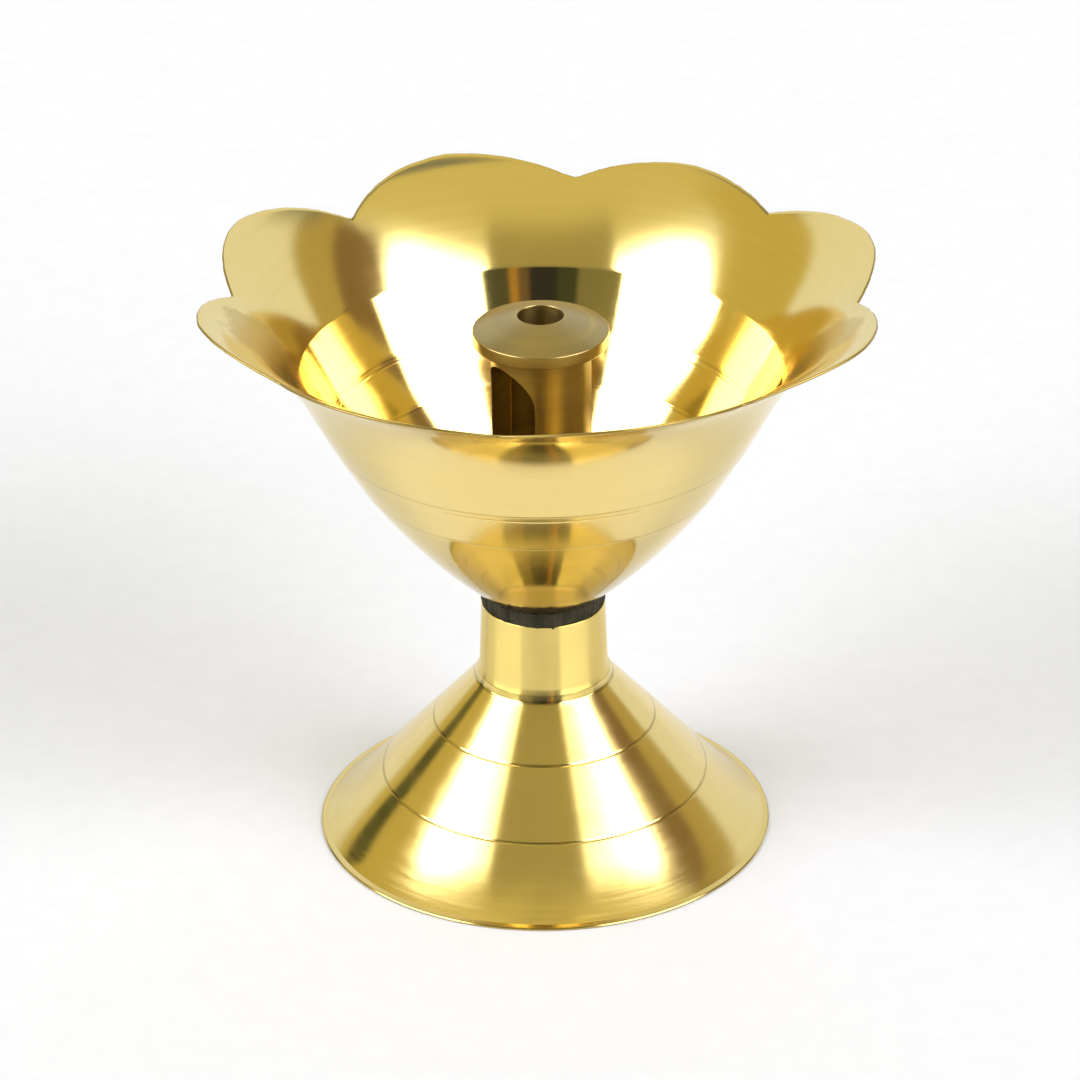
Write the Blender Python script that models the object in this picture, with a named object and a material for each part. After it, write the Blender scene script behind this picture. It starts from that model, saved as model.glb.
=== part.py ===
"""A small brass diya: a scalloped oil bowl and a spun cone base, clamped together through a collar by one stud.

The origin is the centre of the foot on the table, +Z runs up the axis, and sizes are in metres.
"""

import math

import bmesh
import bpy
from mathutils import Vector

MM = 0.001
GAP = 0.3 * MM  # clearance left between pieces that touch
TURN = 2 * math.pi

# Base: a sheet cone with a flat shoulder on top and a thin lip round the foot
BASE_SHEET = 0.6 * MM
SHOULDER_RADIUS = 7.8 * MM
SHOULDER_TOP = 19.3 * MM
SHOULDER_BOTTOM = 18.4 * MM
CONE_SLOPE = 1.09  # fall for each unit outwards
CONE_END_RADIUS = 24.3 * MM
FOOT_RADIUS = 25.2 * MM
FOOT_INNER_RADIUS = 22.9 * MM
FOOT_LIP = 0.42 * MM

# Collar between the base and the bowl
COLLAR_TOP_RADIUS = 6.85 * MM
COLLAR_BOTTOM_RADIUS = 7.1 * MM
COLLAR_HEIGHT = 7.4 * MM
GASKET_RADIUS = 6.7 * MM
GASKET_THICKNESS = 1.2 * MM

# Bowl: flat floor, arched wall up to a crease, then eight petals that flare outwards
BOWL_SHEET = 0.45 * MM
BOWL_FLOOR_RADIUS = 6.8 * MM
CREASE_RADIUS = 26.6 * MM
WALL_RISE = 26.8 * MM
WALL_TURN = math.radians(22.2)  # how far the wall steepens from floor to crease
FLARE_SLOPE = 1.5  # rise for each unit outwards, just past the crease
FLARE_CURL = 50.0  # half the slope that each metre outwards takes away
# The petals are cut by hand, so each notch and tip differs a little. Angles are degrees from +Y towards +X.
NOTCH_ANGLES = [7.0, 49.0, 94.0, 142.5, 187.5, 232.0, 273.5, 319.5]
NOTCH_RADII_MM = [33.7, 34.0, 34.3, 34.3, 34.6, 35.0, 33.5, 32.6]
PETAL_TIPS_MM = [36.4, 37.8, 38.6, 37.2, 37.2, 37.8, 37.3, 36.8]
PETAL_ROUNDNESS = 1.75
PETAL_FULLNESS = 1.15
WALL_STEPS = 7
FLARE_STEPS = 5
PETAL_STEPS = 9

# Wick holder: a flanged tube that stands on the bowl's floor
POST_RADIUS = 5.45 * MM
CHAMBER_RADIUS = 4.0 * MM
FLANGE_RADIUS = 7.4 * MM
FLANGE_BOTTOM = 59.1 * MM
FLANGE_EDGE_TOP = 60.5 * MM
FLANGE_PEAK = 62.2 * MM
WICK_HOLE_RADIUS = 2.5 * MM
SOCKET_DEPTH = 3.4 * MM
CHAMBER_FLOOR = 34.0 * MM
WINDOW_WIDTH = 7.8 * MM
WINDOW_BOTTOM = 34.4 * MM
WINDOW_CROWN = 57.3 * MM
WINDOW_AZIMUTH = math.radians(216.9)  # from +X, anticlockwise

# Stud, washer and nut that clamp the lamp together
STUD_RADIUS = 2.0 * MM
STUD_HOLE_RADIUS = 2.4 * MM
STUD_BOTTOM = 11.8 * MM
WASHER_RADIUS = 4.5 * MM
WASHER_THICKNESS = 0.8 * MM
NUT_ACROSS_FLATS = 7.0 * MM
NUT_THICKNESS = 3.2 * MM

# Heights that follow from the stack
COLLAR_BOTTOM = SHOULDER_TOP + GAP
COLLAR_TOP = COLLAR_BOTTOM + COLLAR_HEIGHT
GASKET_BOTTOM = COLLAR_TOP + GAP
GASKET_TOP = GASKET_BOTTOM + GASKET_THICKNESS
BOWL_BOTTOM = GASKET_TOP + GAP
BOWL_FLOOR_TOP = BOWL_BOTTOM + BOWL_SHEET
CREASE_HEIGHT = BOWL_BOTTOM + WALL_RISE
POST_BOTTOM = BOWL_FLOOR_TOP + GAP
STUD_TOP = POST_BOTTOM + SOCKET_DEPTH - GAP
SHOULDER_UNDERSIDE = SHOULDER_TOP - BASE_SHEET
WASHER_TOP = SHOULDER_UNDERSIDE - GAP
NUT_TOP = WASHER_TOP - WASHER_THICKNESS - GAP

BRASS = (0.80, 0.58, 0.20)
BRASS_DULL = (0.66, 0.52, 0.28)


def clear_scene():
    for obj in list(bpy.data.objects):
        bpy.data.objects.remove(obj, do_unlink=True)


def material(name, colour, roughness, metallic):
    made = bpy.data.materials.new(name)
    made.use_nodes = True
    shader = made.node_tree.nodes["Principled BSDF"]
    shader.inputs["Base Color"].default_value = (*colour, 1.0)
    shader.inputs["Roughness"].default_value = roughness
    shader.inputs["Metallic"].default_value = metallic
    made.diffuse_color = (*colour, 1.0)
    return made


def finish(name, mesh, parent, finish_material):
    """Cleans the mesh's normals, shades it smooth between sharp edges, and links the object."""
    bmesh.ops.recalc_face_normals(mesh, faces=mesh.faces)
    data = bpy.data.meshes.new(name)
    mesh.to_mesh(data)
    mesh.free()
    data.materials.append(finish_material)
    data.shade_smooth()
    data.set_sharp_from_angle(angle=math.radians(30))
    obj = bpy.data.objects.new(name, data)
    bpy.context.collection.objects.link(obj)
    if parent is not None:
        obj.parent = parent
        obj.location = -parent.location
    return obj


def turned_mesh(outline, steps):
    """A closed outline of (radius, height) points turned about the Z axis."""
    mesh = bmesh.new()
    points = [mesh.verts.new((radius, 0.0, height)) for radius, height in outline]
    edges = [mesh.edges.new((a, b)) for a, b in zip(points, points[1:] + points[:1])]
    bmesh.ops.spin(
        mesh, geom=points + edges, cent=(0, 0, 0), axis=(0, 0, 1), angle=TURN, steps=steps, use_merge=True
    )
    bmesh.ops.remove_doubles(mesh, verts=mesh.verts, dist=1e-6)
    return mesh


def ring(name, inner, outer, low, high, steps, parent, finish_material):
    """A plain washer or bush with flat ends."""
    outline = [(outer, high), (outer, low), (inner, low), (inner, high)]
    return finish(name, turned_mesh(outline, steps), parent, finish_material)


def offset_inwards(points, thickness):
    """The other face of a sheet whose outer face runs through the points, from the axis outwards and up."""
    shifted = []
    for i, (radius, height) in enumerate(points):
        before = points[max(i - 1, 0)]
        after = points[min(i + 1, len(points) - 1)]
        run = Vector((after[0] - before[0], after[1] - before[1])).normalized()
        shifted.append((radius - run.y * thickness, height + run.x * thickness))
    return shifted


def wall_points():
    """The bowl's outer wall, an arc from the edge of the floor up to the crease."""
    start = Vector((BOWL_FLOOR_RADIUS, BOWL_BOTTOM))
    end = Vector((CREASE_RADIUS, CREASE_HEIGHT))
    chord = end - start
    chord_angle = math.atan2(chord.y, chord.x)
    bend = chord.length / (2 * math.sin(WALL_TURN / 2))
    first_angle = chord_angle - WALL_TURN / 2
    centre = start + bend * Vector((-math.sin(first_angle), math.cos(first_angle)))
    points = []
    for i in range(WALL_STEPS + 1):
        angle = first_angle + WALL_TURN * i / WALL_STEPS
        points.append((centre.x + bend * math.sin(angle), centre.y - bend * math.cos(angle)))
    return points


def flare_height(radius):
    out = radius - CREASE_RADIUS
    return CREASE_HEIGHT + FLARE_SLOPE * out - FLARE_CURL * out * out


def rim_points():
    """The rim's (angle, radius) pairs, petal by petal, with a point exactly in each notch."""
    pairs = []
    for petal, start in enumerate(NOTCH_ANGLES):
        following = (petal + 1) % len(NOTCH_ANGLES)
        width = (NOTCH_ANGLES[following] - start) % 360
        for i in range(PETAL_STEPS):
            share = i / PETAL_STEPS
            valley = NOTCH_RADII_MM[petal] * (1 - share) + NOTCH_RADII_MM[following] * share
            bulge = (1 - abs(2 * share - 1) ** PETAL_ROUNDNESS) ** PETAL_FULLNESS
            radius = MM * (valley + (PETAL_TIPS_MM[petal] - valley) * bulge)
            pairs.append((math.radians(start + width * share), radius))
    return pairs


def bowl_section(rim_radius):
    """The closed section of the bowl's sheet at one angle."""
    outer = [(STUD_HOLE_RADIUS, BOWL_BOTTOM)] + wall_points()
    for i in range(1, FLARE_STEPS + 1):
        radius = CREASE_RADIUS + (rim_radius - CREASE_RADIUS) * i / FLARE_STEPS
        outer.append((radius, flare_height(radius)))
    inner = offset_inwards(outer, BOWL_SHEET)
    inner[0] = (STUD_HOLE_RADIUS, BOWL_FLOOR_TOP)
    return outer + inner[::-1]


def petal_bowl(parent, finish_material):
    mesh = bmesh.new()
    columns = []
    for angle, rim_radius in rim_points():
        section = bowl_section(rim_radius)
        columns.append([mesh.verts.new((r * math.sin(angle), r * math.cos(angle), z)) for r, z in section])
    for here, there in zip(columns, columns[1:] + columns[:1]):
        for i in range(len(here)):
            j = (i + 1) % len(here)
            mesh.faces.new((here[i], here[j], there[j], there[i]))
    return finish("petal_bowl", mesh, parent, finish_material)


def base_cone(parent, finish_material):
    drop = CONE_SLOPE * (CONE_END_RADIUS - SHOULDER_RADIUS)
    cone_end = SHOULDER_BOTTOM - drop
    across = math.hypot(1, CONE_SLOPE) * BASE_SHEET  # the sheet's thickness measured straight down
    inner_top = SHOULDER_BOTTOM - BASE_SHEET
    inner_shoulder = SHOULDER_RADIUS + (SHOULDER_BOTTOM - across - inner_top) / CONE_SLOPE
    inner_foot_height = SHOULDER_BOTTOM - across - CONE_SLOPE * (FOOT_INNER_RADIUS - SHOULDER_RADIUS)
    outline = [
        (STUD_HOLE_RADIUS, SHOULDER_TOP),
        (SHOULDER_RADIUS - 0.2 * MM, SHOULDER_TOP),
        (SHOULDER_RADIUS, SHOULDER_TOP - 0.2 * MM),
        (SHOULDER_RADIUS, SHOULDER_BOTTOM),
        (CONE_END_RADIUS, cone_end),
        (FOOT_RADIUS - 0.2 * MM, FOOT_LIP),
        (FOOT_RADIUS, FOOT_LIP / 2),
        (FOOT_RADIUS - 0.1 * MM, 0.0),
        (FOOT_INNER_RADIUS, 0.0),
        (FOOT_INNER_RADIUS, inner_foot_height),
        (inner_shoulder, inner_top),
        (SHOULDER_RADIUS - BASE_SHEET, SHOULDER_UNDERSIDE),
        (STUD_HOLE_RADIUS, SHOULDER_UNDERSIDE),
    ]
    return finish("base_cone", turned_mesh(outline, 60), parent, finish_material)


def neck_collar(parent, finish_material):
    edge = 0.25 * MM
    outline = [
        (COLLAR_TOP_RADIUS - edge, COLLAR_TOP),
        (COLLAR_TOP_RADIUS, COLLAR_TOP - edge),
        (COLLAR_BOTTOM_RADIUS, COLLAR_BOTTOM),
        (STUD_HOLE_RADIUS, COLLAR_BOTTOM),
        (STUD_HOLE_RADIUS, COLLAR_TOP),
    ]
    return finish("neck_collar", turned_mesh(outline, 36), parent, finish_material)


def wick_holder(parent, finish_material):
    edge = 0.2 * MM
    outline = [
        (WICK_HOLE_RADIUS, FLANGE_PEAK),
        (FLANGE_RADIUS - edge, FLANGE_EDGE_TOP + edge / 2),
        (FLANGE_RADIUS, FLANGE_EDGE_TOP - edge / 2),
        (FLANGE_RADIUS, FLANGE_BOTTOM),
        (POST_RADIUS, FLANGE_BOTTOM),
        (POST_RADIUS, POST_BOTTOM),
        (STUD_HOLE_RADIUS, POST_BOTTOM),
        (STUD_HOLE_RADIUS, POST_BOTTOM + SOCKET_DEPTH),
        (0.0, POST_BOTTOM + SOCKET_DEPTH),
        (0.0, CHAMBER_FLOOR),
        (CHAMBER_RADIUS, CHAMBER_FLOOR),
        (CHAMBER_RADIUS, FLANGE_BOTTOM - 0.6 * MM),
        (WICK_HOLE_RADIUS, FLANGE_BOTTOM + 0.3 * MM),
    ]
    mesh = bmesh.new()
    points = [mesh.verts.new((radius, 0.0, height)) for radius, height in outline]
    edges = [mesh.edges.new(pair) for pair in zip(points, points[1:] + points[:1]) if any(p.co.x for p in pair)]
    bmesh.ops.spin(
        mesh, geom=points + edges, cent=(0, 0, 0), axis=(0, 0, 1), angle=TURN, steps=40, use_merge=True
    )
    bmesh.ops.remove_doubles(mesh, verts=mesh.verts, dist=1e-6)
    holder = finish("wick_holder", mesh, parent, finish_material)
    cut = holder.modifiers.new("oil_window", "BOOLEAN")
    cut.operation = "DIFFERENCE"
    cut.solver = "EXACT"
    cut.object = window_cutter(parent, finish_material)
    return holder


def window_cutter(parent, finish_material):
    """An arch, upright and square below, that runs from inside the chamber out past the post's wall."""
    half = WINDOW_WIDTH / 2
    spring = WINDOW_CROWN - half
    outline = [(-half, WINDOW_BOTTOM), (half, WINDOW_BOTTOM)]
    arch_steps = 12
    for i in range(arch_steps + 1):
        angle = math.pi * i / arch_steps
        outline.append((half * math.cos(angle), spring + half * math.sin(angle)))
    start = CHAMBER_RADIUS * 0.3
    reach = POST_RADIUS * 1.3 - start
    outwards = Vector((math.cos(WINDOW_AZIMUTH), math.sin(WINDOW_AZIMUTH), 0.0))
    sideways = Vector((-outwards.y, outwards.x, 0.0))
    mesh = bmesh.new()
    points = [mesh.verts.new(outwards * start + sideways * s + Vector((0, 0, z))) for s, z in outline]
    face = mesh.faces.new(points)
    moved = bmesh.ops.extrude_face_region(mesh, geom=[face])["geom"]
    bmesh.ops.translate(mesh, vec=outwards * reach, verts=[g for g in moved if isinstance(g, bmesh.types.BMVert)])
    cutter = finish("oil_window_cutter", mesh, parent, finish_material)
    cutter.hide_render = True
    cutter.display_type = "WIRE"
    return cutter


def tie_stud(parent, finish_material):
    point = 0.4 * MM
    low = STUD_BOTTOM
    mesh = bmesh.new()
    outline = [
        (0.0, STUD_TOP),
        (STUD_RADIUS - point, STUD_TOP),
        (STUD_RADIUS, STUD_TOP - point),
        (STUD_RADIUS, low + point),
        (STUD_RADIUS - point, low),
        (0.0, low),
    ]
    points = [mesh.verts.new((radius, 0.0, height)) for radius, height in outline]
    edges = [mesh.edges.new(pair) for pair in zip(points, points[1:])]
    bmesh.ops.spin(
        mesh, geom=points + edges, cent=(0, 0, 0), axis=(0, 0, 1), angle=TURN, steps=20, use_merge=True
    )
    bmesh.ops.remove_doubles(mesh, verts=mesh.verts, dist=1e-6)
    return finish("tie_stud", mesh, parent, finish_material)


def clamp_nut(parent, finish_material):
    """A hexagonal nut whose corners are chamfered by the cone that a turned nut has."""
    corner = NUT_ACROSS_FLATS / math.sqrt(3)
    low = NUT_TOP - NUT_THICKNESS
    mesh = bmesh.new()
    hexagon = [
        mesh.verts.new((corner * math.cos(TURN * i / 6), corner * math.sin(TURN * i / 6), low)) for i in range(6)
    ]
    face = mesh.faces.new(hexagon)
    raised = bmesh.ops.extrude_face_region(mesh, geom=[face])["geom"]
    top_points = [g for g in raised if isinstance(g, bmesh.types.BMVert)]
    bmesh.ops.translate(mesh, vec=(0, 0, NUT_THICKNESS), verts=top_points)
    nut = finish("clamp_nut", mesh, parent, finish_material)
    flat = NUT_ACROSS_FLATS / 2
    bore = STUD_RADIUS + GAP
    past = 0.5 * MM
    chamfer = 0.35 * MM
    keep = [
        (flat, NUT_TOP),
        (corner, NUT_TOP - chamfer),
        (corner + past, NUT_TOP - chamfer - past * 0.5),
        (corner + past, low + chamfer + past * 0.5),
        (corner, low + chamfer),
        (flat, low),
        (bore, low),
        (bore, NUT_TOP),
    ]
    cone = finish("nut_blank", turned_mesh(keep, 36), parent, finish_material)
    cone.hide_render = True
    cone.display_type = "WIRE"
    trim = nut.modifiers.new("chamfer_and_bore", "BOOLEAN")
    trim.operation = "INTERSECT"
    trim.solver = "EXACT"
    trim.object = cone
    return nut


def build():
    clear_scene()
    lamp = bpy.data.objects.new("lamp_frame", None)
    lift = bpy.data.objects.new("wick_holder_lift", None)
    for empty in (lamp, lift):
        bpy.context.collection.objects.link(empty)
    lift.location = (0.0, 0.0, POST_BOTTOM)

    bowl_brass = material("bowl_brass", BRASS, 0.14, 1.0)
    base_brass = material("base_brass", BRASS, 0.26, 1.0)
    collar_brass = material("collar_brass", BRASS, 0.24, 1.0)
    holder_brass = material("holder_brass", BRASS_DULL, 0.38, 1.0)
    gasket_rubber = material("gasket_rubber", (0.03, 0.028, 0.025), 0.85, 0.0)
    stud_steel = material("stud_steel", (0.55, 0.54, 0.52), 0.35, 1.0)
    washer_steel = material("washer_steel", (0.62, 0.61, 0.59), 0.32, 1.0)
    nut_steel = material("nut_steel", (0.58, 0.57, 0.55), 0.32, 1.0)

    petal_bowl(lamp, bowl_brass)
    base_cone(lamp, base_brass)
    neck_collar(lamp, collar_brass)
    ring(
        "bowl_gasket", STUD_HOLE_RADIUS, GASKET_RADIUS, GASKET_BOTTOM, GASKET_TOP, 36, lamp, gasket_rubber
    )
    tie_stud(lamp, stud_steel)
    ring(
        "clamp_washer",
        STUD_RADIUS + GAP,
        WASHER_RADIUS,
        WASHER_TOP - WASHER_THICKNESS,
        WASHER_TOP,
        28,
        lamp,
        washer_steel,
    )
    clamp_nut(lamp, nut_steel)
    wick_holder(lift, holder_brass)


build()
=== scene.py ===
"""The looks of the brass diya: fine meshes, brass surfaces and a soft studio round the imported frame."""

import math

import bmesh
import bpy
import numpy as np
from mathutils import Matrix, Vector


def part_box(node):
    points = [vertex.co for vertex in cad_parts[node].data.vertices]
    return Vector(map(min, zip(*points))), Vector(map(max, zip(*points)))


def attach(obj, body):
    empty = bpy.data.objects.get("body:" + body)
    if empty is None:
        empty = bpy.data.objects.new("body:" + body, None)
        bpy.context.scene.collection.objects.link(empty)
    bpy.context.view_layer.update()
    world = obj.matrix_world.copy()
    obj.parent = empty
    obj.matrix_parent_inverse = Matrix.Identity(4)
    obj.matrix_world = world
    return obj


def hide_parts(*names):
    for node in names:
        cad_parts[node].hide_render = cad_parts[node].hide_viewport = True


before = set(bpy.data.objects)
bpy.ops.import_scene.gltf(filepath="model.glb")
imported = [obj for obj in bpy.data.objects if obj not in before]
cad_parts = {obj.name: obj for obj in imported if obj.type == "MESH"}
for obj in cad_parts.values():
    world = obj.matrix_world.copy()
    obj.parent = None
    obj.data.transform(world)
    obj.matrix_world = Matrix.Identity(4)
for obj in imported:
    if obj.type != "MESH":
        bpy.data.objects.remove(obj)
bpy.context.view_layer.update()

MM = 0.001
TURN = 2 * math.pi

# Where the CAD pieces are
BOWL_LOW, BOWL_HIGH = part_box("petal_bowl")
BASE_LOW, BASE_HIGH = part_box("base_cone")
COLLAR_LOW, COLLAR_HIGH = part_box("neck_collar")
GASKET_LOW, GASKET_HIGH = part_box("bowl_gasket")
HOLDER_LOW, HOLDER_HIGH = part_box("wick_holder")
STUD_LOW, STUD_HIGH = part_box("tie_stud")
WASHER_LOW, WASHER_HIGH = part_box("clamp_washer")
NUT_LOW, NUT_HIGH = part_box("clamp_nut")

STUD_HOLE = 2.4 * MM  # in every turned piece that the stud holds together
CLAMP_BORE = 2.3 * MM  # in the washer and the nut

# Bowl: the same outline as the CAD sheet, with its two turned bends
SHEET = 0.42 * MM
RIM_SHEET = 0.30 * MM
FLOOR_RADIUS = 6.8 * MM
DISHED = 0.45 * MM  # the floor's edge stands this much above its middle
LOWER_BEND = Vector((20.2 * MM, BOWL_LOW.z + 15.4 * MM))
UPPER_BEND = Vector((23.42 * MM, BOWL_LOW.z + 20.8 * MM))
CREASE = Vector((26.55 * MM, BOWL_LOW.z + 26.8 * MM))
FLARE_RISE = 1.5
FLARE_CURL = -50.0
KNEE = 0.09  # how much more upright the petals leave the crease, all round
FRONT_KNEE = 0.21  # and how much of that changes from the back to the front
KNEE_REACH = 8.0 * MM
NOTCH_ANGLES = [7.0, 49.0, 94.0, 142.5, 187.5, 232.0, 273.5, 319.5]  # degrees from +Y towards +X
NOTCH_RADII_MM = [33.7, 34.0, 34.3, 34.3, 34.6, 35.0, 33.5, 32.6]
PETAL_TIPS_MM = [36.4, 37.8, 38.6, 37.2, 37.2, 37.8, 37.3, 36.8]
PETAL_ROUNDNESS = 1.75
PETAL_FULLNESS = 1.15
PETAL_COLUMNS = 42
FLARE_ROWS = 26
TORN = 0.025  # how ragged the sheared edge is, as half the depth of its bites in millimetres
RAGGED_NOTCH = 232.0  # where the shears left burrs
RAGGED_TORN = 0.10  # how much more ragged it is there
RAGGED_WIDTH = 5.0  # degrees
LIP = 0.10 * MM  # how far the edge of the sheet is rounded off
RING_DROP = 0.85 * MM  # from the upper bend down to the ring scribed under it
WALL_STEP = 0.55 * MM  # between the rows of the wall
MARK_STEP = 0.045 * MM  # and closer rows at each turned mark
# Half width and depth of each turned mark, in the order that wall_line meets them
MARKS = (
    (0.10 * MM, 0.020 * MM),
    (0.09 * MM, 0.016 * MM),
    (0.07 * MM, 0.014 * MM),
    (0.05 * MM, 0.0),
)


def finished(name, mesh, sharp_degrees=35.0):
    """An object from a mesh, shaded smooth up to the given edge angle."""
    bmesh.ops.recalc_face_normals(mesh, faces=mesh.faces)
    data = bpy.data.meshes.new(name)
    mesh.to_mesh(data)
    mesh.free()
    data.shade_smooth()
    data.set_sharp_from_angle(angle=math.radians(sharp_degrees))
    obj = bpy.data.objects.new(name, data)
    bpy.context.scene.collection.objects.link(obj)
    return obj


def skin(mesh, rings, second=()):
    """Faces between each ring of vertices and the next, with the second material on some strips."""
    for here, there in zip(rings, rings[1:] + rings[:1]):
        for i in range(len(here)):
            j = (i + 1) % len(here)
            face = mesh.faces.new((here[i], there[i], there[j], here[j]))
            face.material_index = int(i in second)


def ring(mesh, section, angle):
    """One section of (radius, height) points, stood at an angle from +X towards +Y."""
    return [mesh.verts.new((r * math.cos(angle), r * math.sin(angle), z)) for r, z in section]


def revolve(outline, columns):
    """A closed outline of (radius, height) points swept round the Z axis."""
    mesh = bmesh.new()
    skin(mesh, [ring(mesh, outline, TURN * i / columns) for i in range(columns)])
    bmesh.ops.remove_doubles(mesh, verts=mesh.verts, dist=1e-7)
    return mesh


def rounded(points, radius_at, steps=4):
    """An outline with the corners named in radius_at rounded by about those radii."""
    out = []
    for i, point in enumerate(points):
        here = Vector(point)
        if i not in radius_at:
            out.append(tuple(here))
            continue
        to_before = Vector(points[i - 1]) - here
        to_after = Vector(points[(i + 1) % len(points)]) - here
        reach = min(radius_at[i], to_before.length * 0.49, to_after.length * 0.49)
        start = here + to_before.normalized() * reach
        end = here + to_after.normalized() * reach
        for k in range(steps + 1):
            t = k / steps
            out.append(tuple(start * (1 - t) ** 2 + here * 2 * t * (1 - t) + end * t**2))
    return out


def waves(seed, counts):
    """A repeatable ragged function of an angle, mostly between -1 and 1."""
    rng = np.random.default_rng(seed)
    terms = [(count, rng.uniform(0, TURN), rng.uniform(0.5, 1.0)) for count in counts]
    scale = 1.4 / math.sqrt(len(terms))
    return lambda angle: scale * sum(size * math.sin(count * angle + start) for count, start, size in terms)


def arc(start, end, turn, steps):
    """Points from start to end along an arc that steepens by the given turn in radians."""
    chord = end - start
    bend = chord.length / (2 * math.sin(turn / 2))
    first = math.atan2(chord.y, chord.x) - turn / 2
    centre = start + bend * Vector((-math.sin(first), math.cos(first)))
    angles = [first + turn * i / steps for i in range(steps + 1)]
    return [centre + bend * Vector((math.sin(a), -math.cos(a))) for a in angles]


def lengths_along(points):
    """How far along the line each of its points is."""
    lengths = [0.0]
    for a, b in zip(points, points[1:]):
        lengths.append(lengths[-1] + (b - a).length)
    return lengths


def wall_line():
    """The bowl's outer face from the stud's hole to the crease, and how deep it is marked at each point."""
    fine = 60
    floor_edge = Vector((FLOOR_RADIUS, BOWL_LOW.z + DISHED))
    line = arc(floor_edge, LOWER_BEND, math.radians(15.0), fine)
    line += arc(LOWER_BEND, UPPER_BEND, math.radians(0.3), fine)[1:]
    line += arc(UPPER_BEND, CREASE, math.radians(1.5), fine)[1:]
    lengths = lengths_along(line)
    marks = [lengths[fine], lengths[2 * fine] - RING_DROP, lengths[2 * fine], lengths[-1]]
    stations = set(np.arange(0.0, lengths[-1], WALL_STEP))
    for mark in marks:
        stations.update(mark + k * MARK_STEP for k in range(-5, 6))
    stations = sorted(s for s in stations if 0 <= s < lengths[-1]) + [lengths[-1]]
    across = np.interp(stations, lengths, [p.x for p in line])
    up = np.interp(stations, lengths, [p.y for p in line])
    floor = [Vector((STUD_HOLE, BOWL_LOW.z)), Vector((FLOOR_RADIUS - 1.2 * MM, BOWL_LOW.z))]
    depths = [0.0, 0.0]
    for station in stations:
        depths.append(sum(d * math.exp(-(((station - m) / w) ** 2)) for m, (w, d) in zip(marks, MARKS)))
    return floor + [Vector(p) for p in zip(across, up)], depths


def rim_radius(degrees):
    """How far the bowl's sheet reaches at an angle from +Y towards +X, in metres."""
    for petal, start in enumerate(NOTCH_ANGLES):
        following = (petal + 1) % len(NOTCH_ANGLES)
        width = (NOTCH_ANGLES[following] - start) % 360
        along = (degrees - start) % 360
        if along < width:
            share = along / width
            valley = NOTCH_RADII_MM[petal] * (1 - share) + NOTCH_RADII_MM[following] * share
            bulge = (1 - abs(2 * share - 1) ** PETAL_ROUNDNESS) ** PETAL_FULLNESS
            return MM * (valley + (PETAL_TIPS_MM[petal] - valley) * bulge)
    return NOTCH_RADII_MM[0] * MM


def bowl_angles():
    """Columns round the bowl, closer together beside each notch."""
    angles = []
    for petal, start in enumerate(NOTCH_ANGLES):
        width = (NOTCH_ANGLES[(petal + 1) % len(NOTCH_ANGLES)] - start) % 360
        for i in range(PETAL_COLUMNS):
            even = i / PETAL_COLUMNS
            crowded = 0.5 - 0.5 * math.cos(math.pi * even)
            angles.append(start + width * (0.6 * crowded + 0.4 * even))
    return angles


def flare_point(radius, degrees):
    """A point of the petals' outer face, at an angle from +Y towards +X."""
    out = radius - CREASE.x
    height = CREASE.y + FLARE_RISE * out + FLARE_CURL * out * out
    knee = KNEE - FRONT_KNEE * math.cos(math.radians(degrees))
    height += knee * out * max(0.0, 1 - out / KNEE_REACH)
    return Vector((radius, height))


def bowl_piece():
    """The bowl's thin shell, with a torn edge. Its rim has the second material."""
    mesh = bmesh.new()
    wall, depths = wall_line()
    burrs = waves(5, (41, 67, 97, 139, 181, 211))
    ripple = waves(8, (9, 16, 23, 37))
    columns = []
    for degrees in bowl_angles():
        angle = math.radians(degrees)
        from_ragged = abs((degrees - RAGGED_NOTCH + 180) % 360 - 180)
        torn = TORN + RAGGED_TORN * math.exp(-((from_ragged / RAGGED_WIDTH) ** 2))
        bitten = (0.06 + torn + torn * burrs(angle) + 0.02 * ripple(angle)) * MM
        rim = rim_radius(degrees) - LIP - bitten
        outer = list(wall)
        for i in range(1, FLARE_ROWS + 1):
            share = (i / FLARE_ROWS) ** 1.15
            outer.append(flare_point(CREASE.x + (rim - CREASE.x) * share, degrees))
        marks = depths + [0.0] * FLARE_ROWS
        line = []
        inner = []
        for i, point in enumerate(outer):
            run = (outer[min(i + 1, len(outer) - 1)] - outer[max(i - 1, 0)]).normalized()
            inwards = Vector((-run.y, run.x))
            thinning = max(0.0, (point.x - CREASE.x) / (rim - CREASE.x))
            sheet = SHEET + (RIM_SHEET - SHEET) * thinning
            line.append(point + inwards * marks[i])
            inner.append(point + inwards * (sheet + 0.35 * marks[i]))
        end = (outer[-1] - outer[-2]).normalized()
        inwards = Vector((-end.y, end.x))
        lip = [
            outer[-1] + end * LIP * reach + inwards * RIM_SHEET * depth
            for reach, depth in ((0.65, 0.15), (1.0, 0.5), (0.65, 0.85))
        ]
        section = line + lip + inner[::-1]
        columns.append(ring(mesh, section, math.pi / 2 - angle))
    skin(mesh, columns, range(len(line) - 1, len(line) + 3))
    return finished("bowl_shell", mesh, 50)


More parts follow.
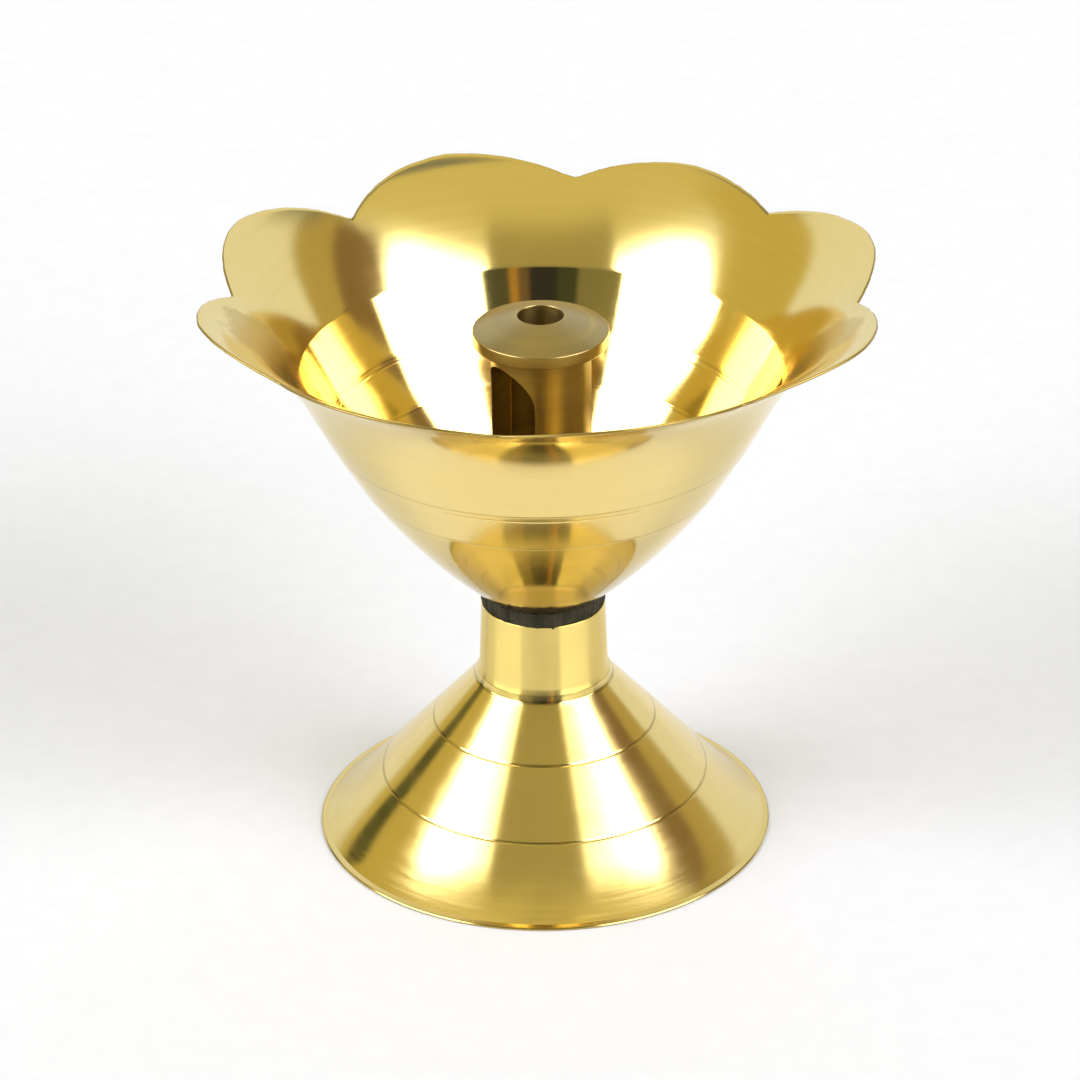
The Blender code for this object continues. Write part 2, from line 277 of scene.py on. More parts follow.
# Base: a cone that flares out at the foot, under a flat shoulder ring
BASE_SLOPE = 1.12
FOOT_SLOPE = 0.74
FOOT_FLARE_FROM = 19.6 * MM
SHOULDER_RADIUS = 7.8 * MM
SHOULDER_HEIGHT = 0.9 * MM
CONE_ROWS = 110
CONE_SHEET = 0.86 * MM
CONE_INSIDE = (7.9 * MM, 22.6 * MM)  # the radii between which the inside follows the outside
SCRIBED_RADII = (12.35 * MM, 18.1 * MM)
SCRIBE_DEPTH = 0.035 * MM
SCRIBE_WIDTH = 0.075 * MM
# Grooves and joints darkened with grime and painted shade; the shade is painted where the cone meets the
# shoulder and along the foot's edge
GRIME_AND_SHADE_RADII = (7.68 * MM, *SCRIBED_RADII, 25.15 * MM)  # also where the cone meets the shoulder and the lip


def base_piece():
    """The spun cone: crown, scribed outside, rolled foot, plain inside and the underside of the crown."""
    shoulder_low = BASE_HIGH.z - SHOULDER_HEIGHT
    cone_end = BASE_HIGH.x - 0.7 * MM
    cone_foot = 0.42 * MM
    run = cone_end - SHOULDER_RADIUS
    radii = [SHOULDER_RADIUS + run * i / CONE_ROWS for i in range(CONE_ROWS + 1)]
    for scribe in SCRIBED_RADII:
        radii += [scribe + k * 0.03 * MM for k in range(-6, 7)]
    radii = sorted(radii)

    heights = [shoulder_low]
    for before, after in zip(radii, radii[1:]):
        flaring = min(1.0, max(0.0, (after - FOOT_FLARE_FROM) / (cone_end - FOOT_FLARE_FROM)))
        slope = BASE_SLOPE + (FOOT_SLOPE - BASE_SLOPE) * flaring**1.4
        heights.append(heights[-1] - slope * (after - before))
    fit = (shoulder_low - cone_foot) / (heights[0] - heights[-1])
    heights = [shoulder_low - (shoulder_low - z) * fit for z in heights]

    def scribed(radius):
        return sum(SCRIBE_DEPTH * math.exp(-(((radius - s) / SCRIBE_WIDTH) ** 2)) for s in SCRIBED_RADII)

    outer = [(r, z - scribed(r)) for r, z in zip(radii, heights)]
    crown = [
        (STUD_HOLE, BASE_HIGH.z),
        (SHOULDER_RADIUS - 0.42 * MM, BASE_HIGH.z),
        (SHOULDER_RADIUS - 0.39 * MM, BASE_HIGH.z - 0.02 * MM),
        (SHOULDER_RADIUS - 0.37 * MM, BASE_HIGH.z - 0.08 * MM),
        (SHOULDER_RADIUS - 0.19 * MM, BASE_HIGH.z - 0.63 * MM),
        (SHOULDER_RADIUS - 0.15 * MM, BASE_HIGH.z - 0.71 * MM),
        (SHOULDER_RADIUS - 0.08 * MM, BASE_HIGH.z - 0.80 * MM),
    ]
    foot = [
        (BASE_HIGH.x - 0.30 * MM, 0.36 * MM),
        (BASE_HIGH.x - 0.08 * MM, 0.31 * MM),
        (BASE_HIGH.x - 0.01 * MM, 0.22 * MM),
        (BASE_HIGH.x - 0.02 * MM, 0.10 * MM),
        (BASE_HIGH.x - 0.10 * MM, 0.0),
        (22.9 * MM, 0.0),
        (22.85 * MM, 0.35 * MM),
    ]
    inner = [(r, z - CONE_SHEET) for r, z in outer if CONE_INSIDE[0] < r < CONE_INSIDE[1]][::-6]
    roof = [(7.6 * MM, shoulder_low - 0.1 * MM), (STUD_HOLE, BASE_HIGH.z - 0.6 * MM)]
    return finished("base_spinning", revolve(crown + outer[1:] + foot + inner + roof, 240), 28)


# Collar
COLLAR_TOP = COLLAR_HIGH.z + 0.60 * MM  # its rim bites into the rubber


def collar_piece():
    """A slightly tapered tube that splays at its foot."""
    top, low = COLLAR_TOP, BASE_HIGH.z + 0.02 * MM
    points = [
        (STUD_HOLE, top),
        (6.85 * MM, top),
        (7.12 * MM, low + 0.75 * MM),
        (7.17 * MM, low + 0.50 * MM),
        (7.35 * MM, low),
        (STUD_HOLE, low),
    ]
    return finished("collar", revolve(rounded(points, {1: 0.08 * MM}), 160))


# Wick holder: heights are from its own foot
FLANGE_HEIGHT = 3.1 * MM
FLANGE_EDGE = 1.4 * MM
POST_RADIUS = 5.45 * MM
CHAMBER_RADIUS = 4.0 * MM
WICK_HOLE = 2.5 * MM
SOCKET_DEPTH = 3.4 * MM
CHAMBER_FLOOR = 4.45 * MM
WINDOW_AZIMUTH = 216.9  # degrees from +X anticlockwise
WINDOW_HALF_WIDTH = 3.9 * MM
WINDOW_BOTTOM = 4.85 * MM
WINDOW_CROWN = 27.75 * MM
HOLDER_SHARP = 32.0  # degrees


def holder_piece():
    """The turned post with its flange, wick hole, chamber, stud socket and oil window."""
    low, high, flange = HOLDER_LOW.z, HOLDER_HIGH.z, HOLDER_HIGH.x
    flange_low = high - FLANGE_HEIGHT
    points = [
        (WICK_HOLE, high),
        (flange, flange_low + FLANGE_EDGE),
        (flange, flange_low),
        (POST_RADIUS, flange_low),
        (POST_RADIUS, low),
        (STUD_HOLE, low),
        (STUD_HOLE, low + SOCKET_DEPTH),
        (0.0, low + SOCKET_DEPTH),
        (0.0, low + CHAMBER_FLOOR),
        (CHAMBER_RADIUS, low + CHAMBER_FLOOR),
        (CHAMBER_RADIUS, flange_low - 0.6 * MM),
        (WICK_HOLE, flange_low + 0.3 * MM),
    ]
    radii = {0: 0.16 * MM, 1: 0.14 * MM, 2: 0.12 * MM, 3: 0.25 * MM, 4: 0.2 * MM}
    holder = finished("wick_post", revolve(rounded(points, radii), 144), HOLDER_SHARP)
    cutter = window_cutter(low)
    cut = holder.modifiers.new("oil_window", "BOOLEAN")
    cut.object = cutter
    cut.solver = "EXACT"
    bpy.context.view_layer.update()
    evaluated = holder.evaluated_get(bpy.context.evaluated_depsgraph_get())
    data = bpy.data.meshes.new_from_object(evaluated)
    holder.modifiers.clear()
    holder.data = data
    bpy.data.objects.remove(cutter)
    data.shade_smooth()
    data.set_sharp_from_angle(angle=math.radians(HOLDER_SHARP))
    return holder


def window_cutter(low):
    """A round-topped slab that passes through one wall of the post's chamber."""
    spring = low + WINDOW_CROWN - WINDOW_HALF_WIDTH
    outline = [(-WINDOW_HALF_WIDTH, low + WINDOW_BOTTOM), (WINDOW_HALF_WIDTH, low + WINDOW_BOTTOM)]
    for i in range(33):
        angle = math.pi * i / 32
        outline.append((WINDOW_HALF_WIDTH * math.cos(angle), spring + WINDOW_HALF_WIDTH * math.sin(angle)))
    azimuth = math.radians(WINDOW_AZIMUTH)
    outwards = Vector((math.cos(azimuth), math.sin(azimuth), 0.0))
    sideways = Vector((-outwards.y, outwards.x, 0.0))
    start = outwards * CHAMBER_RADIUS * 0.3
    mesh = bmesh.new()
    face = mesh.faces.new([mesh.verts.new(start + sideways * s + Vector((0, 0, z))) for s, z in outline])
    moved = bmesh.ops.extrude_face_region(mesh, geom=[face])["geom"]
    far = [g for g in moved if isinstance(g, bmesh.types.BMVert)]
    bmesh.ops.translate(mesh, vec=outwards * POST_RADIUS * 1.2, verts=far)
    return finished("window_cutter", mesh)


GASKET_COLUMNS = 400


def gasket_piece():
    """A washer cut by hand from black rubber, squeezed between the bowl and the collar."""
    edge = waves(11, (3, 5, 8, 13, 21, 34, 55))
    teeth = waves(12, (4, 9, 17, 29, 47, 71, 97))
    high, low, reach = BOWL_LOW.z + DISHED, COLLAR_TOP, GASKET_HIGH.x
    thick = high - low
    mesh = bmesh.new()
    rings = []
    for i in range(GASKET_COLUMNS):
        angle = TURN * i / GASKET_COLUMNS
        out = reach + (0.10 + 0.12 * max(-1.0, min(1.0, edge(angle)))) * MM
        hang = (0.16 + 0.34 * max(-0.8, min(1.0, teeth(angle)))) * MM
        section = [
            (STUD_HOLE, high),
            (FLOOR_RADIUS - 0.3 * MM, high),
            (out + 0.10 * MM, high + 0.10 * MM),
            (out, high - 0.45 * thick),
            (out - 0.02 * MM, low + 0.20 * thick - 0.5 * hang),
            (out - 0.10 * MM, low - hang),
            (out - 0.20 * MM, low - hang - 0.02 * MM),
            (COLLAR_HIGH.x * 0.94, low),
            (STUD_HOLE, low),
        ]
        rings.append(ring(mesh, section, angle))
    skin(mesh, rings)
    return finished("gasket", mesh, 60)


THREAD_PITCH = 0.7 * MM
THREAD_DEPTH = 0.38 * MM
THREAD_FADES = 0.6 * MM  # over this length at each end


def stud_piece():
    """An M4 stud with its thread as a helical ridge, inside the CAD rod's outline."""
    crest, root = STUD_HIGH.x, STUD_HIGH.x - THREAD_DEPTH
    low, high = STUD_LOW.z + 0.02 * MM, STUD_HIGH.z - 0.02 * MM
    columns, across = 32, 6
    rows = int((high - low) / THREAD_PITCH) * across
    mesh = bmesh.new()
    verts = []
    for i in range(rows + 1):
        row = []
        for k in range(columns):
            height = min(low + THREAD_PITCH * (i / across + k / columns), high)
            ridge = 1 - abs(2 * ((i / across) % 1.0) - 1)
            from_end = min(height - low, high - height)
            tapering = max(0.0, min(1.0, from_end / THREAD_FADES))
            radius = root + (crest - root) * ridge * tapering
            angle = TURN * k / columns
            row.append(mesh.verts.new((radius * math.cos(angle), radius * math.sin(angle), height)))
        verts.append(row)
    for i in range(rows):
        for k in range(columns - 1):
            mesh.faces.new((verts[i][k], verts[i][k + 1], verts[i + 1][k + 1], verts[i + 1][k]))
        j = i + across
        if j < rows:
            mesh.faces.new((verts[i][-1], verts[j][0], verts[j + 1][0], verts[i + 1][-1]))
    bmesh.ops.holes_fill(mesh, edges=[e for e in mesh.edges if e.is_boundary])
    return finished("stud", mesh, 40)


def washer_piece():
    """A flat washer with softened edges."""
    inside, outside = CLAMP_BORE, WASHER_HIGH.x
    low, high = WASHER_LOW.z, WASHER_HIGH.z
    points = [(inside, high), (outside, high), (outside, low), (inside, low)]
    outline = rounded(points, {0: 0.08 * MM, 1: 0.18 * MM, 2: 0.1 * MM, 3: 0.08 * MM})
    return finished("washer", revolve(outline, 96))


NUT_LEAD = 0.25 * MM  # how deep and wide the bore's chamfer is
NUT_CHAMFER = math.radians(30)
NUT_COLUMNS = 144


def nut_piece():
    """A hexagonal nut whose corners are turned off by a chamfer."""
    flat, corner = NUT_HIGH.y, NUT_HIGH.x
    low, high = NUT_LOW.z, NUT_HIGH.z
    mouth = CLAMP_BORE + NUT_LEAD
    shoulder = flat * 0.985
    sixth = TURN / 6
    mesh = bmesh.new()
    rings = []
    for i in range(NUT_COLUMNS):
        angle = TURN * i / NUT_COLUMNS
        from_corner = (angle + sixth / 2) % sixth - sixth / 2
        from_flat = sixth / 2 - abs(from_corner)
        reach = min(flat / math.cos(from_flat), corner - 0.05 * MM)
        chamfer = (reach - shoulder) * math.tan(NUT_CHAMFER)
        section = [
            (mouth, high),
            (shoulder, high),
            (reach, high - chamfer),
            (reach, low + chamfer),
            (shoulder, low),
            (mouth, low),
            (CLAMP_BORE, low + NUT_LEAD),
            (CLAMP_BORE, high - NUT_LEAD),
        ]
        rings.append(ring(mesh, section, angle))
    skin(mesh, rings)
    return finished("nut", mesh, 22)


class Nodes:
    """Short names for making the nodes of a material or a world."""

    def __init__(self, owner):
        owner.use_nodes = True
        self.owner = owner
        self.tree = owner.node_tree
        self.shader = self.tree.nodes.get("Principled BSDF")

    def add(self, kind, **values):
        node = self.tree.nodes.new(kind)
        for key, value in values.items():
            setattr(node, key, value)
        return node

    def put(self, socket, value):
        """Links a socket or sets it to a plain value."""
        if value is None:
            return
        if isinstance(value, bpy.types.NodeSocket):
            self.tree.links.new(value, socket)
        elif isinstance(value, tuple) and len(value) == 3 and socket.type == "RGBA":
            socket.default_value = (*value, 1.0)
        else:
            socket.default_value = value

    def coordinates(self, kind="Object"):
        """A texture coordinate, and its x, y and z."""
        place = self.add("ShaderNodeTexCoord").outputs[kind]
        split = self.add("ShaderNodeSeparateXYZ")
        self.put(split.inputs[0], place)
        return place, split.outputs

    def math(self, operation, a, b=None):
        node = self.add("ShaderNodeMath", operation=operation)
        self.put(node.inputs[0], a)
        self.put(node.inputs[1], b)
        return node.outputs[0]

    def plus(self, a, b):
        return self.math("ADD", a, b)

    def minus(self, a, b):
        return self.math("SUBTRACT", a, b)

    def times(self, a, b):
        return self.math("MULTIPLY", a, b)

    def noise(self, vector, scale, detail=3.0, rough=0.5, distortion=0.0):
        node = self.add("ShaderNodeTexNoise")
        names = ("Vector", "Scale", "Detail", "Roughness", "Distortion")
        for name, value in zip(names, (vector, scale, detail, rough, distortion)):
            self.put(node.inputs[name], value)
        return node.outputs["Fac"]

    def vector(self, x, y, z):
        node = self.add("ShaderNodeCombineXYZ")
        for socket, value in zip(node.inputs, (x, y, z)):
            self.put(socket, value)
        return node.outputs[0]

    def ramp(self, factor, stops):
        """A colour for each factor, from stops of (factor, colour)."""
        node = self.add("ShaderNodeValToRGB")
        self.put(node.inputs[0], factor)
        elements = node.color_ramp.elements
        while len(elements) < len(stops):
            elements.new(0.5)
        for element, (place, colour) in zip(elements, stops):
            element.position = place
            element.color = (*colour, 1.0)
        return node.outputs[0]

    def fade(self, value, low, high, to_low=0.0, to_high=1.0):
        """A smooth change from to_low to to_high as the value goes from low to high."""
        node = self.add("ShaderNodeMapRange", interpolation_type="SMOOTHSTEP")
        for socket, number in zip(node.inputs, (value, low, high, to_low, to_high)):
            self.put(socket, number)
        return node.outputs[0]

    def mix(self, factor, a, b):
        node = self.add("ShaderNodeMix", data_type="RGBA")
        self.put(node.inputs[0], factor)
        self.put(node.inputs[6], a)
        self.put(node.inputs[7], b)
        return node.outputs[2]

    def bump(self, height, distance, after=None):
        node = self.add("ShaderNodeBump")
        node.inputs["Distance"].default_value = distance
        self.put(node.inputs["Height"], height)
        self.put(node.inputs["Normal"], after)
        return node.outputs["Normal"]


BRASS = (0.872, 0.69, 0.27)
BRASS_DEEP = (0.72, 0.55, 0.15)
# The tarnish colour, also used for painted shade in grooves and joints and for the darkening towards the
# bowl's bottom
BRASS_TARNISH_AND_SHADE = (0.40, 0.30, 0.10)
# Colour of the painted reflections of a dark shape on the petals
PAINTED_REFLECTION_BROWN = (0.44, 0.30, 0.06)
TOOL_LINE_DEPTH = 0.010 * MM
HAMMERED_DEPTH = 0.004 * MM
GROOVE_DARK_REACH = 0.15 * MM  # how far from a groove's middle its grime and painted shade end
RING_GRIME_AND_SHADE, LEVEL_GRIME_AND_SHADE = 0.75, 0.42  # how dark the grime and painted shade are in grooves placed by radius and by height


def brass(
    name,
    roughness,
    *,
    lines,
    stains,
    brushed,
    tint=BRASS,
    lined_below=None,
    matt_above=None,
    darker_towards_bottom=None,
    painted_reflections=(),
    grime_and_shade_radii=(),
    grime_and_shade_heights=(),
):
    """Brass turned on a lathe.

    lines: how strong the circular tool lines are. Above the height lined_below they are weaker.
    stains: how strong the tarnish is.
    brushed: how much further light spreads across the lines than along them.
    matt_above: the height from which the surface is a little rougher.
    darker_towards_bottom: the two heights between which a dark tone fades out upwards, darkening the
    surface towards the bottom.
    painted_reflections: painted reflections of a dark shape, as brown patches, each with a centre, a size
    and a depth of colour.
    grime_and_shade_radii, grime_and_shade_heights: the grooves and joints darkened with grime and painted
    shade.
    """
    n = Nodes(bpy.data.materials.new(name))
    place, (x, y, z) = n.coordinates()
    radius = n.math("SQRT", n.plus(n.times(x, x), n.times(y, y)))
    profile = n.times(n.plus(radius, n.times(z, 0.77)), 1000.0)
    turn = n.math("ARCTAN2", y, x)
    lathe = n.vector(profile, n.times(n.math("SINE", turn), 0.25), n.times(n.math("COSINE", turn), 0.25))
    fine = n.noise(lathe, 7.0, 3.0, 0.7)
    broad = n.noise(lathe, 0.9, 4.0, 0.6)
    patches = n.noise(place, 150.0, 5.0, 0.6)
    clouds = n.noise(place, 38.0, 4.0, 0.55, 0.8)

    streak = n.fade(broad, 0.42, 0.72)
    stain = n.fade(n.plus(n.times(clouds, 0.7), n.times(patches, 0.3)), 0.50, 0.70)
    strength = lines
    if lined_below is not None:
        strength = n.fade(z, lined_below * 0.15, lined_below, lines, lines * 0.45)
    colour = n.mix(n.times(streak, n.times(strength, 0.6)), tint, BRASS_DEEP)
    colour = n.mix(n.times(stain, stains), colour, BRASS_TARNISH_AND_SHADE)
    rough = n.fade(patches, 0.35, 0.7, roughness * 0.92, roughness * 1.1)
    rough = n.plus(rough, n.times(stain, stains * 0.15))
    # Darker towards the bottom, between the two given heights
    if darker_towards_bottom is not None:
        colour = n.mix(n.fade(z, darker_towards_bottom[0], darker_towards_bottom[1], 0.8, 0.0), colour, BRASS_TARNISH_AND_SHADE)
    # Grime and painted shade: each listed groove or joint is darkened with the tarnish colour
    for measure, grooves, strong in ((radius, grime_and_shade_radii, RING_GRIME_AND_SHADE), (z, grime_and_shade_heights, LEVEL_GRIME_AND_SHADE)):
        for middle in grooves:
            away = n.math("ABSOLUTE", n.minus(measure, middle))
            grime_and_shade = n.fade(away, GROOVE_DARK_REACH / 3, GROOVE_DARK_REACH, strong, 0.0)
            patchy = n.fade(patches, 0.3, 0.6, 0.55, 1.0)
            colour = n.mix(n.times(grime_and_shade, patchy), colour, BRASS_TARNISH_AND_SHADE)
    # Painted reflections: brown patches that stand in for a dark shape mirrored in the petals
    for centre, size, depth in painted_reflections:
        spot = painted_reflection_patch(n, place, centre, size)
        colour = n.mix(n.times(spot, depth), colour, PAINTED_REFLECTION_BROWN)
        rough = n.plus(rough, n.times(spot, 0.10))
    rough = n.plus(rough, n.times(n.minus(fine, 0.5), n.times(strength, 0.25)))
    if matt_above is not None:
        rough = n.plus(rough, n.fade(z, matt_above, matt_above + 0.4 * MM, 0.0, 0.04))
    n.put(n.shader.inputs["Base Color"], colour)
    n.put(n.shader.inputs["Roughness"], n.math("MAXIMUM", rough, 0.04))
    n.shader.inputs["Metallic"].default_value = 1.0
    n.shader.inputs["Anisotropic"].default_value = brushed
    n.shader.inputs["Anisotropic Rotation"].default_value = 0.25
    tangent = n.add("ShaderNodeTangent", direction_type="RADIAL", axis="Z")
    n.put(n.shader.inputs["Tangent"], tangent.outputs[0])

    relief = n.times(n.plus(n.times(fine, 0.6), n.times(broad, 0.4)), strength)
    turned = n.bump(relief, TOOL_LINE_DEPTH)
    n.put(n.shader.inputs["Normal"], n.bump(n.noise(place, 120.0, 2.0), HAMMERED_DEPTH, after=turned))
    return n.owner


def painted_reflection_patch(n, place, centre, size):
    """A painted reflection of a dark shape: a patch with torn edges on faces that look up, 1 at its centre
    and 0 beyond its size.
    """
    away = n.add("ShaderNodeVectorMath", operation="DISTANCE")
    n.put(away.inputs[0], place)
    away.inputs[1].default_value = centre
    torn = n.times(n.noise(place, 320.0, 5.0, 0.75), size * 0.9)
    patch = n.fade(n.plus(away.outputs["Value"], torn), size * 1.10, size * 1.28, 1.0, 0.0)
    _, facing = n.coordinates("Normal")
    return n.times(patch, n.fade(facing[2], 0.0, 0.2))


def rubber(name):
    """Old black rubber, lumpy and grainy."""
    n = Nodes(bpy.data.materials.new(name))
    place, _ = n.coordinates()
    grain = n.noise(place, 1400.0, 5.0, 0.65)
    lumps = n.noise(place, 420.0, 3.0)
    black = n.ramp(lumps, [(0.3, (0.018, 0.016, 0.010)), (0.75, (0.050, 0.044, 0.026))])
    n.put(n.shader.inputs["Base Color"], black)
    n.put(n.shader.inputs["Roughness"], n.fade(grain, 0.3, 0.7, 0.65, 0.9))
    n.shader.inputs["Specular IOR Level"].default_value = 0.18
    n.put(n.shader.inputs["Normal"], n.bump(grain, 0.06 * MM, after=n.bump(lumps, 0.25 * MM)))
    return n.owner


def steel(name, tint):
    """Zinc-plated steel, mottled with a darker tone."""
    n = Nodes(bpy.data.materials.new(name))
    place, _ = n.coordinates()
    mottle = n.noise(place, 500.0, 4.0, 0.6)
    darker = tuple(c * 0.62 for c in tint)
    n.put(n.shader.inputs["Base Color"], n.mix(n.fade(mottle, 0.4, 0.7), tint, darker))
    n.put(n.shader.inputs["Roughness"], n.fade(mottle, 0.3, 0.7, 0.24, 0.42))
    n.shader.inputs["Metallic"].default_value = 1.0
    n.put(n.shader.inputs["Normal"], n.bump(n.noise(place, 2400.0, 2.0), 0.012 * MM))
    return n.owner


def dress(piece, node, slot, body, *finishes):
    """Gives a piece its materials and puts it in place of a CAD node, riding on a body."""
    for finish in finishes:
        piece.data.materials.append(finish)
    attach(piece, body)
    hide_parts(node)


HORIZON = (0.88, 0.90, 0.92)
CEILING = (0.71, 0.635, 0.33)
SOFTBOX = (7.4, 7.3, 7.2)
# What stands round the lamp: azimuths in degrees from the camera's side towards the right,
# elevations, the softness of the edge, and colour
SURROUNDINGS = (
    ((-134, -93), (-12, 60), 6, (0.62, 0.52, 0.18)),  # wooden wall, left
    ((104, 123), (-12, 58), 5, (0.50, 0.41, 0.17)),  # wooden wall, right
    ((84, 106), (-12, 46), 3, (0.25, 0.17, 0.09)),  # brown curtain, right
    ((114, 142), (44, 82), 8, (0.22, 0.235, 0.25)),  # lamp stand, right
    ((-150, -130), (43, 62), 4, (0.22, 0.235, 0.25)),  # lamp stand, left
    ((-41, 29), (-12, 57), 5, (0.40, 0.36, 0.18)),  # gap between the softboxes
    ((-94, 86), (-12, 19), 2.5, (0.70, 0.69, 0.42)),  # below the softboxes
    ((-94, -41), (19, 46), 4, SOFTBOX),
    ((29, 86), (19, 46), 4, SOFTBOX),
)
SOFTBOX_LEANS_FROM, SOFTBOX_LEAN = 20.0, 0.004
SOFTBOX_CORNER_FROM, SOFTBOX_CORNER = 62.0, 0.009
RIG_AZIMUTHS = (-41, 29)
RIG_ELEVATIONS = (-12, 42)
# Its colours across, each at an azimuth
RIG_STOPS = (
    (-41, (0.26, 0.24, 0.13)),
    (-20, (0.24, 0.22, 0.12)),
    (-18, (0.06, 0.07, 0.045)),
    (-9, (0.06, 0.07, 0.045)),
    (-8, (0.035, 0.035, 0.04)),
    (5, (0.035, 0.035, 0.04)),
    (6, (0.16, 0.11, 0.08)),
    (10.5, (0.18, 0.12, 0.07)),
    (12, (0.47, 0.27, 0.07)),
    (15, (0.45, 0.26, 0.07)),
    (16.5, (0.09, 0.095, 0.06)),
    (29, (0.085, 0.09, 0.07)),
)


def band(n, value, span, soft):
    """1 while the value is inside the span and 0 outside, with soft ends."""
    rise = n.fade(value, span[0] - soft, span[0] + soft)
    fall = n.fade(value, span[1] - soft, span[1] + soft, 1.0, 0.0)
    return n.times(rise, fall)


def studio():
    """A photographer's tent: pale sides, a warm ceiling, two softboxes and the rig between them."""
    world = bpy.data.worlds.new("studio")
    bpy.context.scene.world = world
    n = Nodes(world)
    _, (x, y, z) = n.coordinates("Generated")
    azimuth = n.math("DEGREES", n.math("ARCTAN2", x, n.times(y, -1.0)))
    elevation = n.math("DEGREES", n.math("ARCSINE", z))
    light = n.mix(n.fade(elevation, 38, 56), HORIZON, CEILING)

    # The softboxes' outer edges lean in, and their outer corners are rounded off
    above = n.math("MAXIMUM", n.minus(elevation, SOFTBOX_LEANS_FROM), 0.0)
    leaning = n.times(azimuth, n.plus(1.0, n.times(above, SOFTBOX_LEAN)))
    outside = n.math("MAXIMUM", n.minus(n.math("ABSOLUTE", azimuth), SOFTBOX_CORNER_FROM), 0.0)
    cornered = n.plus(elevation, n.times(n.times(outside, outside), SOFTBOX_CORNER))
    for azimuths, elevations, soft, colour in SURROUNDINGS:
        sides = band(n, azimuth, azimuths, soft * 0.5)
        height = elevation
        if colour == SOFTBOX:
            sides = n.times(sides, band(n, leaning, azimuths, soft * 0.5))
            height = cornered
        light = n.mix(n.times(sides, band(n, height, elevations, soft)), light, colour)

    left, right = RIG_AZIMUTHS
    along = n.math("DIVIDE", n.minus(azimuth, left), right - left)
    rig = n.ramp(along, [((stop - left) / (right - left), colour) for stop, colour in RIG_STOPS])
    mask = n.times(band(n, azimuth, RIG_AZIMUTHS, 0.6), band(n, elevation, RIG_ELEVATIONS, 1.5))
    n.put(n.tree.nodes["Background"].inputs["Color"], n.mix(mask, light, rig))


def matt(name, scale, dark, light, roughness, specular):
    """A matt surface whose grain goes between two colours."""
    n = Nodes(bpy.data.materials.new(name))
    place, _ = n.coordinates()
    n.put(n.shader.inputs["Base Color"], n.ramp(n.noise(place, scale), [(0.3, dark), (0.7, light)]))
    n.shader.inputs["Roughness"].default_value = roughness
    n.shader.inputs["Specular IOR Level"].default_value = specular
    return n.owner


FLOOR_SIZE = 4.0  # metres


def paper_floor():
    """The plain pale floor that the lamp stands on."""
    bpy.ops.mesh.primitive_plane_add(size=FLOOR_SIZE, location=(0, 0, BASE_LOW.z))
    floor = bpy.context.object
    floor.name = "floor"
    paper = matt("floor_paper", 300.0, (0.70, 0.73, 0.85), (0.72, 0.75, 0.87), 0.9, 0.1)
    floor.data.materials.append(paper)


FLAG_AZIMUTH = math.radians(-120.5)
FLAG_AIMED_AT = Vector((-15 * MM, -5 * MM, 0.0))
FLAG_DISTANCE = 150 * MM
FLAG_WIDTH, FLAG_HEIGHT = 28 * MM, 86 * MM


def flag():
    """A narrow black card behind the lamp on its left, out of the picture, for the base to mirror."""
    away = Vector((math.sin(FLAG_AZIMUTH), -math.cos(FLAG_AZIMUTH), 0.0))
    across = Vector((-away.y, away.x, 0.0)) * FLAG_WIDTH / 2
    up = Vector((0.0, 0.0, FLAG_HEIGHT))
    low = FLAG_AIMED_AT + away * FLAG_DISTANCE
    corners = (low - across, low + across, low + across + up, low - across + up)
    mesh = bmesh.new()
    mesh.faces.new([mesh.verts.new(corner) for corner in corners])
    card = finished("flag", mesh)
    black = matt("flag_black_card", 900.0, (0.05, 0.055, 0.028), (0.075, 0.08, 0.04), 0.95, 0.05)
    card.data.materials.append(black)
    card.visible_camera = card.visible_diffuse = card.visible_shadow = False


CAMERA_ELEVATION = math.radians(27.59)
CAMERA_ROLL = math.radians(-0.55)
CAMERA_DISTANCE = 605 * MM
CAMERA_TARGET = Vector((0.0, 0.0, 33.0 * MM))
CAMERA_LENS = 183.3
CAMERA_SHIFT = (-0.0026, 0.0141)


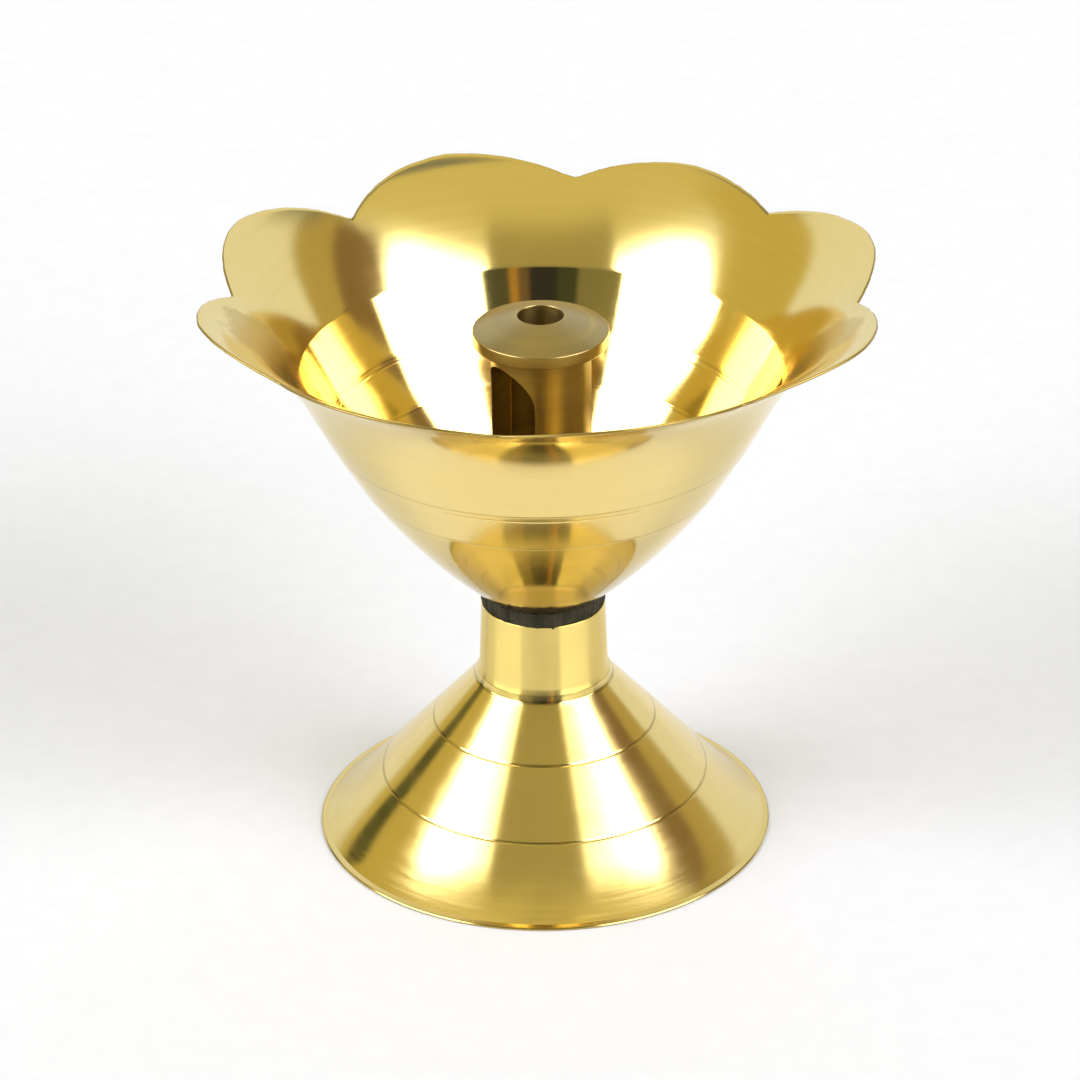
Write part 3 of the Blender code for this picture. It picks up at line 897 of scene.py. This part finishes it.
def camera():
    """The photograph's viewpoint, a little above the lamp in front of it."""
    data = bpy.data.cameras.new("camera")
    data.sensor_width = 36.0
    data.lens = CAMERA_LENS
    data.shift_x, data.shift_y = CAMERA_SHIFT
    data.clip_start = 0.01
    obj = bpy.data.objects.new("camera", data)
    bpy.context.scene.collection.objects.link(obj)
    away = Vector((0, -math.cos(CAMERA_ELEVATION), math.sin(CAMERA_ELEVATION)))
    tilt = Matrix.Rotation(math.pi / 2 - CAMERA_ELEVATION, 4, "X") @ Matrix.Rotation(CAMERA_ROLL, 4, "Z")
    obj.matrix_world = Matrix.Translation(CAMERA_TARGET + away * CAMERA_DISTANCE) @ tilt
    bpy.context.scene.camera = obj


bpy.context.scene.view_settings.view_transform = "Standard"

camera()
studio()
paper_floor()
flag()

bowl_brass = brass(
    "bowl_brass_polish",
    0.085,
    lines=0.25,
    stains=0.10,
    brushed=0.6,
    matt_above=CREASE.y,
    # Darker towards the bowl's bottom
    darker_towards_bottom=(BOWL_LOW.z + 3 * MM, BOWL_LOW.z + 12 * MM),
    # Painted reflections of a dark shape on the inner faces of the left and right petals
    painted_reflections=(
        ((-28.6 * MM, -5.0 * MM, 60.3 * MM), 8.8 * MM, 0.45),
        ((30.0 * MM, -9.0 * MM, 60.5 * MM), 8.0 * MM, 0.40),
    ),
    # Grime and painted shade along the two turned bends
    grime_and_shade_heights=(LOWER_BEND.y, UPPER_BEND.y),
)
rim_brass = brass(
    "bowl_brass_sheared_rim", 0.36, lines=0.0, stains=0.9, brushed=0.0, tint=(0.40, 0.29, 0.08)
)
holder_brass = brass(
    "holder_brass_turned", 0.34, lines=0.5, stains=0.55, brushed=0.4, tint=(0.42, 0.325, 0.14)
)
collar_brass = brass(
    "collar_brass_satin", 0.22, lines=0.0, stains=0.05, brushed=1.0, tint=(0.87, 0.675, 0.215)
)
base_brass = brass(
    "base_brass_satin",
    0.17,
    lines=0.85,
    stains=0.12,
    brushed=0.8,
    tint=(0.84, 0.66, 0.26),
    lined_below=7 * MM,
    # Grime and painted shade in the scribed lines, at the shoulder's joint and along the foot's edge
    grime_and_shade_radii=GRIME_AND_SHADE_RADII,
)

dress(bowl_piece(), "petal_bowl", "bowl_brass", "lamp", bowl_brass, rim_brass)
dress(holder_piece(), "wick_holder", "holder_brass", "wick_holder", holder_brass)
dress(collar_piece(), "neck_collar", "collar_brass", "lamp", collar_brass)
dress(base_piece(), "base_cone", "base_brass", "lamp", base_brass)
dress(gasket_piece(), "bowl_gasket", "gasket_rubber", "lamp", rubber("gasket_black_rubber"))
dress(stud_piece(), "tie_stud", "stud_steel", "lamp", steel("stud_zinc", (0.55, 0.54, 0.52)))
dress(washer_piece(), "clamp_washer", "washer_steel", "lamp", steel("washer_zinc", (0.62, 0.61, 0.59)))
dress(nut_piece(), "clamp_nut", "nut_steel", "lamp", steel("nut_zinc", (0.58, 0.57, 0.55)))
